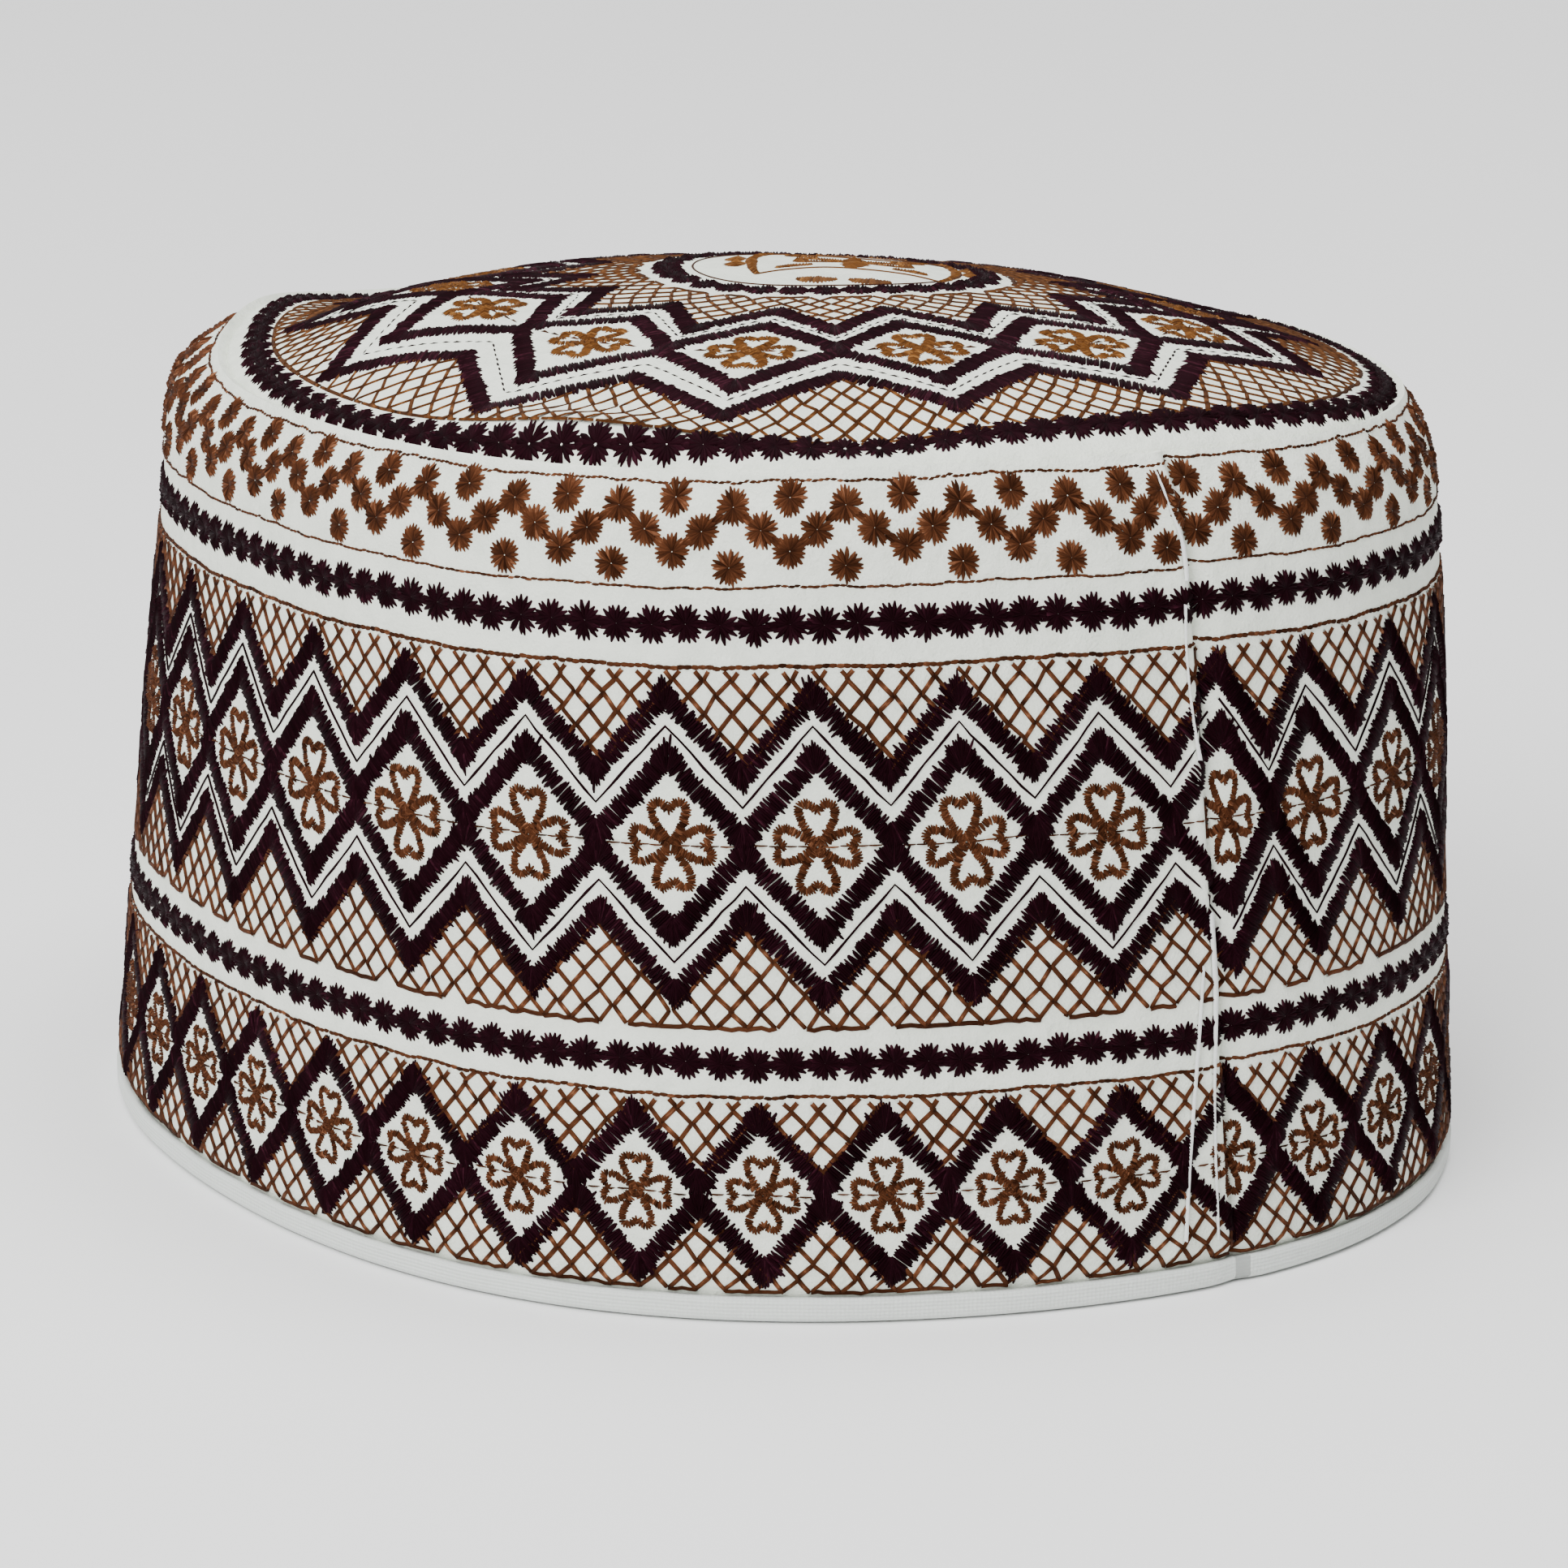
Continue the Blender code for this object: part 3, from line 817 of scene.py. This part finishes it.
# Net of brown thread: zigzag strands side by side that touch at their turns
wallNet = {"wide": 0.62, "lift": 0.42}
crownNet = {"wide": 0.6, "lift": 0.24}
netShape = {"stray": 0.13, "legs": np.array((0.0, 0.12, 0.5, 0.88)), "glow": (1.0, 0.4, -1.0, 0.4),
            "tint": 0.45, "contrast": 0.30, "tintStray": 0.16, "widths": (0.88, 1.1)}


def netStrands(around, cells, tall, low, high, inside, place, look):
    cell = around / cells
    count = int((high - low) / (tall / 2)) + 3
    parts = []
    for j in range(cells):
        turnsV = low - tall / 2 + np.arange(count) * tall / 2 + jitter(netShape["stray"], count)
        way = np.where((np.arange(count) + j) % 2 == 0, 1.0, -1.0)
        turnsU = cell * (j + 0.5) + way * cell * 0.5 + jitter(netShape["stray"], count)
        u, v = ((turns[:-1, None] + np.diff(turns)[:, None] * netShape["legs"]).ravel() for turns in (turnsU, turnsV))
        u[::4][1:] = u[::4][1:] * 0.6 + (u[3::4][:-1] + u[1::4][1:]) * 0.2  # rounds the turns off
        path = joined(u, v)
        glow = netShape["tint"] - netShape["contrast"] * np.tile(netShape["glow"], count - 1)
        glow = glow + jitter(netShape["tintStray"], len(path))
        keep = inside(u, v) & (v > low - 0.05) & (v < high)
        edges = np.flatnonzero(np.diff(np.concatenate([[0], keep.astype(int), [0]])))
        for first, last in zip(edges[::2], edges[1::2]):
            if last - first > 2:
                wide = look["wide"] * dice.uniform(*netShape["widths"])
                parts.append(strand(place(path[first:last]), wide, look["lift"], glow[first:last]))
    return parts


def freeEdge(around, cells, level, place, look):  # short runs that join the strands' ends along a net's free edge
    cell = around / cells
    j = 0
    parts = []
    while j < cells:
        span = int(dice.choice([2, 2, 4, 4, 6]))
        u = np.linspace(cell * j, cell * min(j + span, cells), 2 * span + 1)
        v = level + jitter(0.10, len(u))
        parts.append(strand(place(joined(u, v)), look["wide"], look["lift"], dice.uniform(0.1, 0.7)))
        j += span + (2 if span < 6 else 0)
    return parts


def wallNets(band, side):  # the net above a band's zigzags, or the one below with its free edge
    line = zigzag(band, "outer", side)
    beyond = lambda u, v: side * v > side * np.interp(u, line[:, 0], line[:, 1])
    low, high = (band["netTop"], band["top"]) if side > 0 else (band["bottom"], band["netBottom"])
    parts = netStrands(girth, band["cells"], band["cellHeight"], low, high, beyond, np.asarray, wallNet)
    return parts if side > 0 else parts + freeEdge(girth, band["cells"], low, np.asarray, wallNet)


print("nets")
strands("wideBandNetUpper", wallSheet, wallNets(wideBand, 1.0), "brown")
strands("wideBandNetLower", wallSheet, wallNets(wideBand, -1.0), "brown")
strands("lowBandNets", wallSheet, wallNets(lowBand, 1.0) + wallNets(lowBand, -1.0), "brown")


def crownNets(cells, low, high, side, tall):
    # worked out in steps of the star across and millimetres out, scaled so that both are of a size
    reach = 2 * math.pi * (low + high) / 2 / star["points"]
    point, notch = star["outer"]

    def beyond(u, v):
        edge = star["ring"] + side * (notch + (point - notch) * np.abs(1.0 - 2.0 * (u / reach % 1.0)))
        return side * v > side * edge

    flat = lambda path: starPlace(path[:, 0] / reach, path[:, 1])
    around = reach * star["points"]
    free = high if side > 0 else low
    parts = netStrands(around, cells, tall, low, high, beyond, flat, crownNet)
    return parts + freeEdge(around, cells, free, flat, crownNet)


outerNet, innerNet = crownNets(252, 57.0, star["netOuter"], 1.0, 3.9), crownNets(112, star["netInner"], 43.0, -1.0, 3.7)
strands("crownNets", crownSheet, outerNet + innerNet, "crownNet")

# Running lines
print("running lines")


def wallRun(level, wave):
    u = np.arange(0.0, girth + 0.5, 1.0)
    drift = wave * (np.sin(u * 0.9 + np.sin(u * 0.13) * 3) * 0.5 + np.sin(u * 0.21) * 0.7)
    return joined(u, level + seamRise(u) + (drift + jitter(wave * 0.3, len(u))))


def dashes(path, dash, gap, wide, lift, tint):
    run = runAlong(path)
    first = np.arange(0.0, run[-1] - dash, dash + gap)
    spot = lambda at: joined(np.interp(at, run, path[:, 0]), np.interp(at, run, path[:, 1]))
    stray = jitter(0.05, (len(first), 2))
    return threads(spot(first) + stray, spot(first + dash) + stray, wide, lift, tint)


thinLines = [dashes(wallRun(level, wave), dash, gap, wide, lift, tint) for level, wave, dash, gap, wide, lift, tint in (
    (106.9, 0.18, 1.15, -0.28, 0.38, 0.34, 0.45), (94.4, 0.16, 1.15, -0.28, 0.38, 0.34, 0.45),
    (wideBand["top"], 0.14, 1.2, -0.25, 0.62, 0.44, 0.4), (lowBand["top"], 0.14, 1.2, -0.25, 0.55, 0.42, 0.4))]
for band in (wideBand, lowBand):
    for u in band["places"]:
        for way in (-1.0, 1.0):
            tip = u + way * band["spur"], band["level"] + jitter(0.2)
            thinLines.append(dashes(np.array([(u + way * 0.8, band["level"]), tip]), 1.9, 0.0, 0.24, 0.62, 0.4))
stitches("wallRunningLines", wallSheet, thinLines, "brown")


def channelLine(corners):
    path = np.concatenate([np.linspace(a, b, 7)[:-1] for a, b in zip(corners[:-1], corners[1:])])
    path = path + jitter(0.05, path.shape)
    wide = 0.34 + 0.07 * np.sin(np.arange(len(path)) * 1.9)
    return strand(path, wide, 0.32, dice.uniform(0.0, 0.5, len(path)))


wallChannels = [channelLine(zigzag(wideBand, "channel", side)[1:-2]) for side in (1.0, -1.0)]
strands("wallChannelLines", wallSheet, wallChannels, "dark")
crownChannels = [dashes(starLine(side, star["channel"])[1:-2], 1.5, 0.25, 0.32, 0.30, 0.2) for side in (1.0, -1.0)]
stitches("crownChannelLines", crownSheet, crownChannels, "dark")
circle = starPlace(np.linspace(0.0, star["points"], 160), star["thinCircle"])
strands("crownThinCircle", crownSheet, [strand(circle, 0.32, 0.2, 0.3)], "brown")
jumps = [dashes(starPlace(i + way * np.array([0.07, 0.40]), star["ring"]), 2.0, 0.0, 0.22, 0.5, 0.3)
         for i in range(star["points"]) for way in (-1.0, 1.0)]
stitches("crownThinLines", crownSheet, jumps, "brown")

# Medallion in the middle of the crown: places are to the right and nearer, as seen from the back seam's left
print("medallion")
medallion = {
    "right": 3.7, "near": -2.0, "facing": 141.5, "spacing": 0.36, "thread": 0.6, "lift": 0.6, "tint": 0.6,
    "arc": ((12.0, -11.0), (13.5, -5.5), (14.0, 0.0), (13.5, 5.5), (12.0, 11.0)),
    "wing": (6.6, 8.6, 0.55),
    "leaf": ((5.4, 4.0), (7.6, 4.6), (9.8, 6.4)),
    "nearLeaf": ((1.0, 14.8), (3.6, 15.1), (6.2, 14.8)),
    "sideLeaf": ((15.9, 0.3), (16.2, 2.4), (15.9, 4.6)),
    "vine": ((12.0, 11.0), (8.6, 8.2), (4.6, 6.6), (0.0, 6.0)),
    "heart": ((0.0, -5.0), (0.3, 0.0), (0.0, 5.0)),
}


def localPlace(path):
    a = math.radians(medallion["facing"])
    right, near = path[:, 0] + medallion["right"], path[:, 1] + medallion["near"]
    x, y = star["centre"]
    return joined(x + right * math.cos(a) + near * math.sin(a), y + right * math.sin(a) - near * math.cos(a))


def satinPath(path, wide, blunt=0.6):  # satin across a path, narrower at its ends
    fine = smoothPath(localPlace(path), medallion["spacing"])
    swell = np.sin(np.linspace(0.16, math.pi - 0.16, len(fine)))[:, None] ** blunt
    side = leftOf(headings(fine)) * (wide / 2) * swell * dice.normal(1.0, 0.08, (len(fine), 1))
    return threads(fine - side, fine + side, medallion["thread"], medallion["lift"], medallion["tint"])


shapes, vines = [], []
for mirrorX in (1.0, -1.0):
    shapes.append(satinPath(np.array(medallion["arc"]) * [mirrorX, 1.0], 1.8, 0.4))
    broad, long, flat = medallion["wing"]
    shapes.append(satinPath(petal[:, ::-1] * [long * mirrorX, broad * flat], 1.1, 0.3))
    for mirrorY in (1.0, -1.0):
        flip = [mirrorX, mirrorY]
        for key, wide, blunt in (("leaf", 2.0, 0.6), ("nearLeaf", 5.2, 0.75), ("sideLeaf", 3.5, 0.75)):
            shapes.append(satinPath(np.array(medallion[key]) * flip, wide, blunt))
        vines.append(strand(smoothPath(localPlace(np.array(medallion["vine"]) * flip), 0.8), 0.36, 0.22, 0.5))
shapes.append(satinPath(np.array(medallion["heart"]), 4.2))
stitches("crownMedallion", crownSheet, shapes, "gold")
strands("crownVines", crownSheet, vines, "gold")

# Loose white tacking threads beside the seam
tacks = (((-3.6, 106.0), (-2.9, 102.0), (-2.2, 98.0), (-2.2, 93.0)),
         ((-2.6, 90.0), (-2.9, 84.0), (-2.7, 76.0), (-2.2, 70.0)),
         ((-2.0, 50.0), (-2.1, 40.0), (-3.0, 26.0), (-3.7, 6.5)),
         ((-3.2, 43.0), (-5.0, 32.0), (-6.8, 20.0), (-8.6, 7.0)))
whites = [strand(smoothPath(np.array(tack), 1.0) + jitter(0.06, 2), 0.26, 0.95, 0.5) for tack in tacks]
strands("seamThreads", wallSheet, whites, "white")


# Floor, light and camera
print("stage")
bpy.ops.mesh.primitive_plane_add(size=9.0, location=(0.0, 0.0, -0.0002))
floor = bpy.context.active_object
floor.name = "floor"
floorFinish = Finish("paleFloor", {"Base Color": (0.93, 0.93, 0.93, 1.0), "Roughness": 0.9, "Specular IOR Level": 0.1})
floor.data.materials.append(floorFinish.material)

view = {"place": (0.62702, 0.78916, 0.33542), "right": (-0.78627, 0.61769, 0.01523), "up": (-0.15919, -0.22633, 0.96095),
        "lens": 9194.0 / 1932.0 * 36.0}
bpy.ops.object.camera_add(location=view["place"])
camera = bpy.context.active_object
right, up = Vector(view["right"]).normalized(), Vector(view["up"])
back = right.cross(up).normalized()
up = back.cross(right).normalized()
camera.matrix_world = Matrix.Translation(view["place"]) @ Matrix((right, up, back)).transposed().to_4x4()
camera.data.lens, camera.data.sensor_width, camera.data.clip_start = view["lens"], 36.0, 0.01
bpy.context.scene.camera = camera

# The sky is brighter on the camera's left, as in a room with one window
world = bpy.context.scene.world or bpy.data.worlds.new("studio")
bpy.context.scene.world = world
world.use_nodes = True
air = Nodes(world.node_tree)
toward = air.node("TexCoord").outputs["Generated"]
rightward = air.node("VectorMath", {0: toward, 1: (-0.786, 0.618, 0.0)}, operation='DOT_PRODUCT').outputs["Value"]
level = air.node("MapRange", {"Value": rightward, "From Min": -1.0, "From Max": 1.0, "To Min": 1.35, "To Max": 0.12})
sky = air.tree.nodes["Background"]
for socket, value in enumerate((solid((1.0, 1.0, 1.0)), level.outputs["Result"])):
    air.put(sky.inputs[socket], value)


def softLight(name, place, size, power):
    bpy.ops.object.light_add(type='AREA', location=place)
    light = bpy.context.active_object
    light.name = name
    light.data.size, light.data.energy = size, power
    light.rotation_euler = (Vector((0.0, 0.0, 0.06)) - Vector(place)).to_track_quat('-Z', 'Y').to_euler()


softLight("key", (1.5, 0.75, 1.45), 1.1, 44.0)
softLight("top", (-0.1, 0.3, 2.1), 1.6, 44.0)

print("done")
